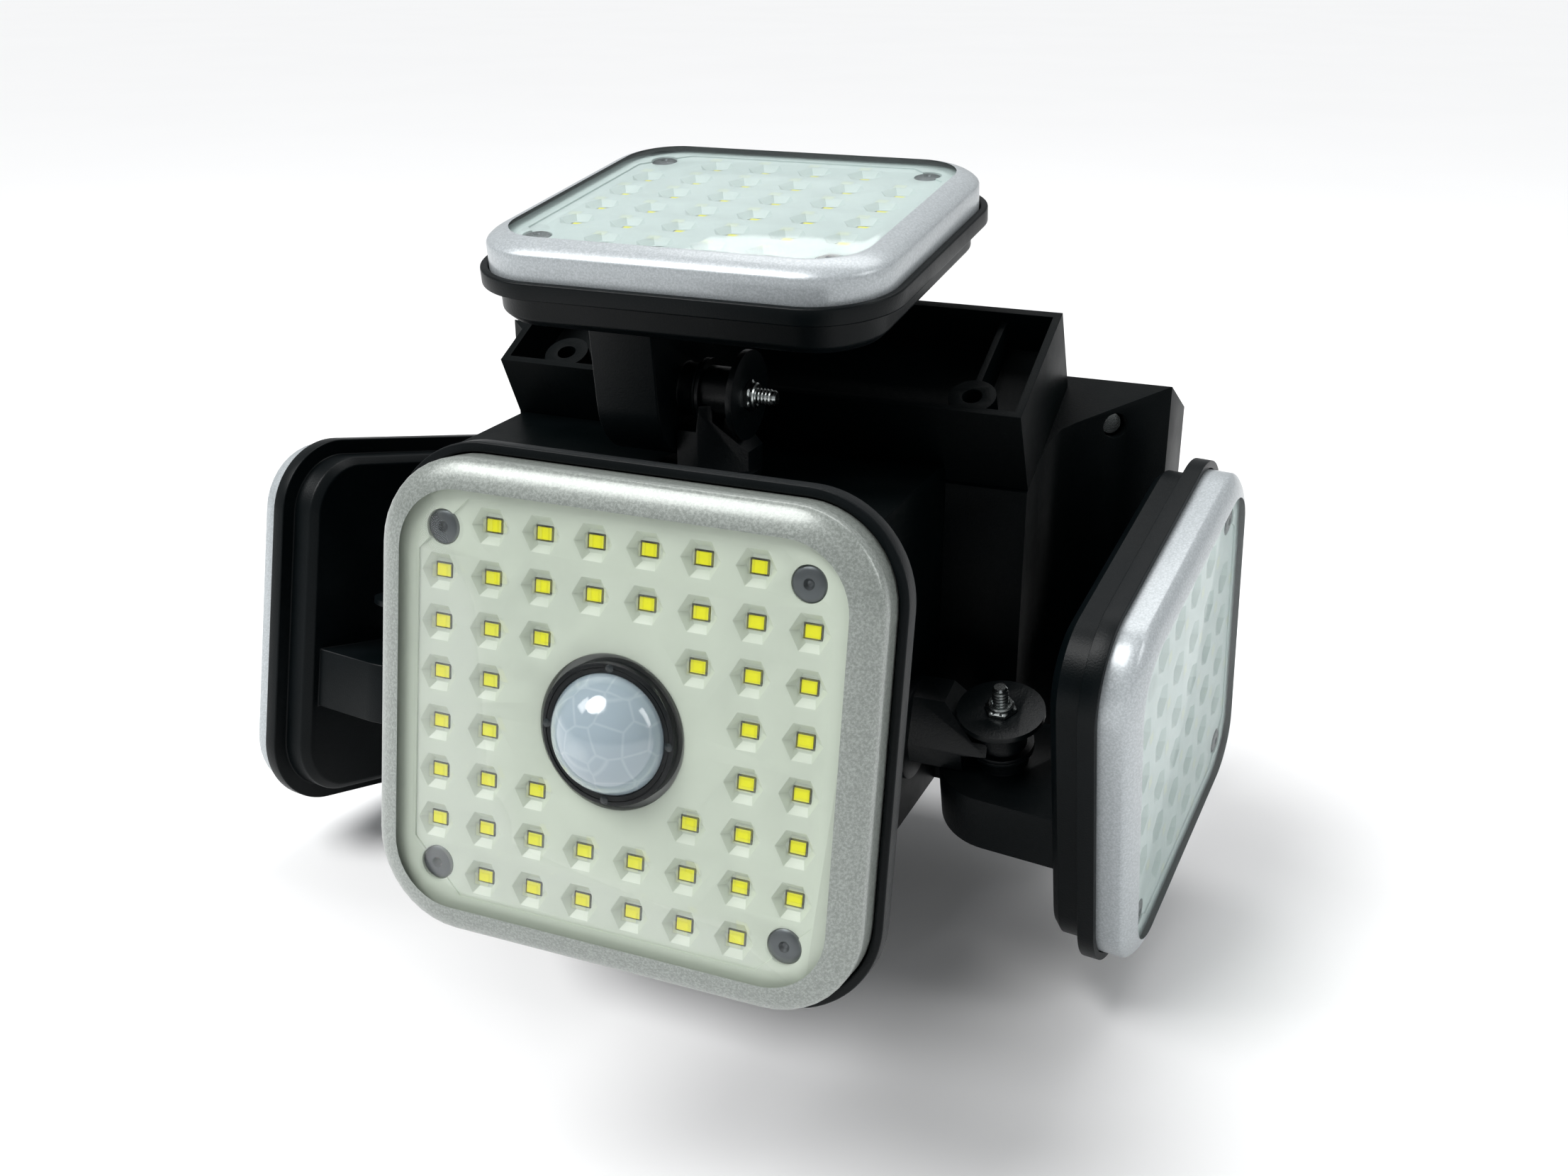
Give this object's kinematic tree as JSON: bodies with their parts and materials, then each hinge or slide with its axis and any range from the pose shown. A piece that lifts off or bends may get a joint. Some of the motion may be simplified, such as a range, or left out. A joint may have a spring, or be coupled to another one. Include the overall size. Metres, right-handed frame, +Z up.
{
  "type": "motion-sensing floodlight",
  "caption": "Wall floodlight with square tilting lamp heads on swivel arms, a domed motion sensor in the front head and an open tray on the body.",
  "frame": {"origin": "middle of the back plate's wall face", "axes": "+Z up, +Y into the wall, so the front faces -Y and +X is to the right seen from the front"},
  "size_m": [0.2596, 0.22, 0.1967],
  "materials": {
    "black_plastic": "fine texture, satin",
    "black_rubber": "matt",
    "light_board": "white solder mask",
    "chip": "phosphor in a white frame",
    "white_plastic": "moulded, semi-gloss",
    "clear_plastic": "clear with a frosted rim",
    "dark_steel": "black zinc",
    "zinc_steel": "bright zinc",
    "milky_plastic": "milky, faceted inside",
    "battery_wrap": "shrink wrap",
    "circuit_board": "solder mask"
  },
  "bodies": {
    "wall_body": {"shell": "black_plastic", "arm_block": "black_plastic", "cheek_screws": "dark_steel", "tray": "black_plastic", "back_plate": "black_plastic", "plate_screws": "dark_steel", "battery": "battery_wrap", "control_board": "circuit_board", "grommet": "black_rubber"},
    "front_arm_body": {"front_arm": "black_plastic", "front_bolt": "zinc_steel", "front_nut": "zinc_steel", "front_retainer": "zinc_steel"},
    "front_head": {"front_housing": "black_plastic", "front_gasket": "black_rubber", "front_board": "light_board", "front_leds": "chip", "front_reflector": "white_plastic", "front_lens": "clear_plastic", "front_screws": "dark_steel", "motion_bezel": "black_plastic", "motion_dome": "milky_plastic", "motion_sensor": "zinc_steel"},
    "top_arm_body": {"top_arm": "black_plastic", "top_bolt": "zinc_steel", "top_nut": "zinc_steel", "top_retainer": "zinc_steel"},
    "top_head": {"top_housing": "black_plastic", "top_gasket": "black_rubber", "top_board": "light_board", "top_leds": "chip", "top_reflector": "white_plastic", "top_lens": "clear_plastic", "top_screws": "dark_steel"},
    "right_arm_body": {"right_arm": "black_plastic", "right_bolt": "zinc_steel", "right_nut": "zinc_steel", "right_retainer": "zinc_steel"},
    "right_head": {"right_housing": "black_plastic", "right_gasket": "black_rubber", "right_board": "light_board", "right_leds": "chip", "right_reflector": "white_plastic", "right_lens": "clear_plastic", "right_screws": "dark_steel"},
    "left_arm_body": {"left_arm": "black_plastic", "left_bolt": "zinc_steel", "left_nut": "zinc_steel", "left_retainer": "zinc_steel"},
    "left_head": {"left_housing": "black_plastic", "left_gasket": "black_rubber", "left_board": "light_board", "left_leds": "chip", "left_reflector": "white_plastic", "left_lens": "clear_plastic", "left_screws": "dark_steel"}
  },
  "joints": [
    {"name": "front_swivel", "type": "hinge", "parent": "wall_body", "child": "front_arm_body", "pos_m": [0.034, -0.1766, -0.0056], "axis": [0, 1, 0], "range_deg": [-20, 20]},
    {"name": "front_tilt", "type": "hinge", "parent": "front_arm_body", "child": "front_head", "pos_m": [0.034, -0.1766, -0.0056], "axis": [1, 0, 0], "range_deg": [-12, 30]},
    {"name": "top_swivel", "type": "hinge", "parent": "wall_body", "child": "top_arm_body", "pos_m": [0.0001, -0.0972, 0.0577], "axis": [0, 0, 1], "range_deg": [-18, 60]},
    {"name": "top_tilt", "type": "hinge", "parent": "top_arm_body", "child": "top_head", "pos_m": [0.0001, -0.0972, 0.0577], "axis": [1, 0, 0], "range_deg": [-6, 40]},
    {"name": "right_swivel", "type": "hinge", "parent": "wall_body", "child": "right_arm_body", "pos_m": [0.0755, -0.0889, -0.0264], "axis": [1, 0, 0], "range_deg": [-30, 8]},
    {"name": "right_tilt", "type": "hinge", "parent": "right_arm_body", "child": "right_head", "pos_m": [0.0755, -0.0889, -0.0264], "axis": [0, -0.2756, 0.9613], "range_deg": [-40, 1]},
    {"name": "left_swivel", "type": "hinge", "parent": "wall_body", "child": "left_arm_body", "pos_m": [-0.095, -0.094, -0.025], "axis": [1, 0, 0], "range_deg": [-30, 30]},
    {"name": "left_tilt", "type": "hinge", "parent": "left_arm_body", "child": "left_head", "pos_m": [-0.095, -0.094, -0.025], "axis": [0, 0.225, 0.9744], "range_deg": [-1, 40]}
  ]
}
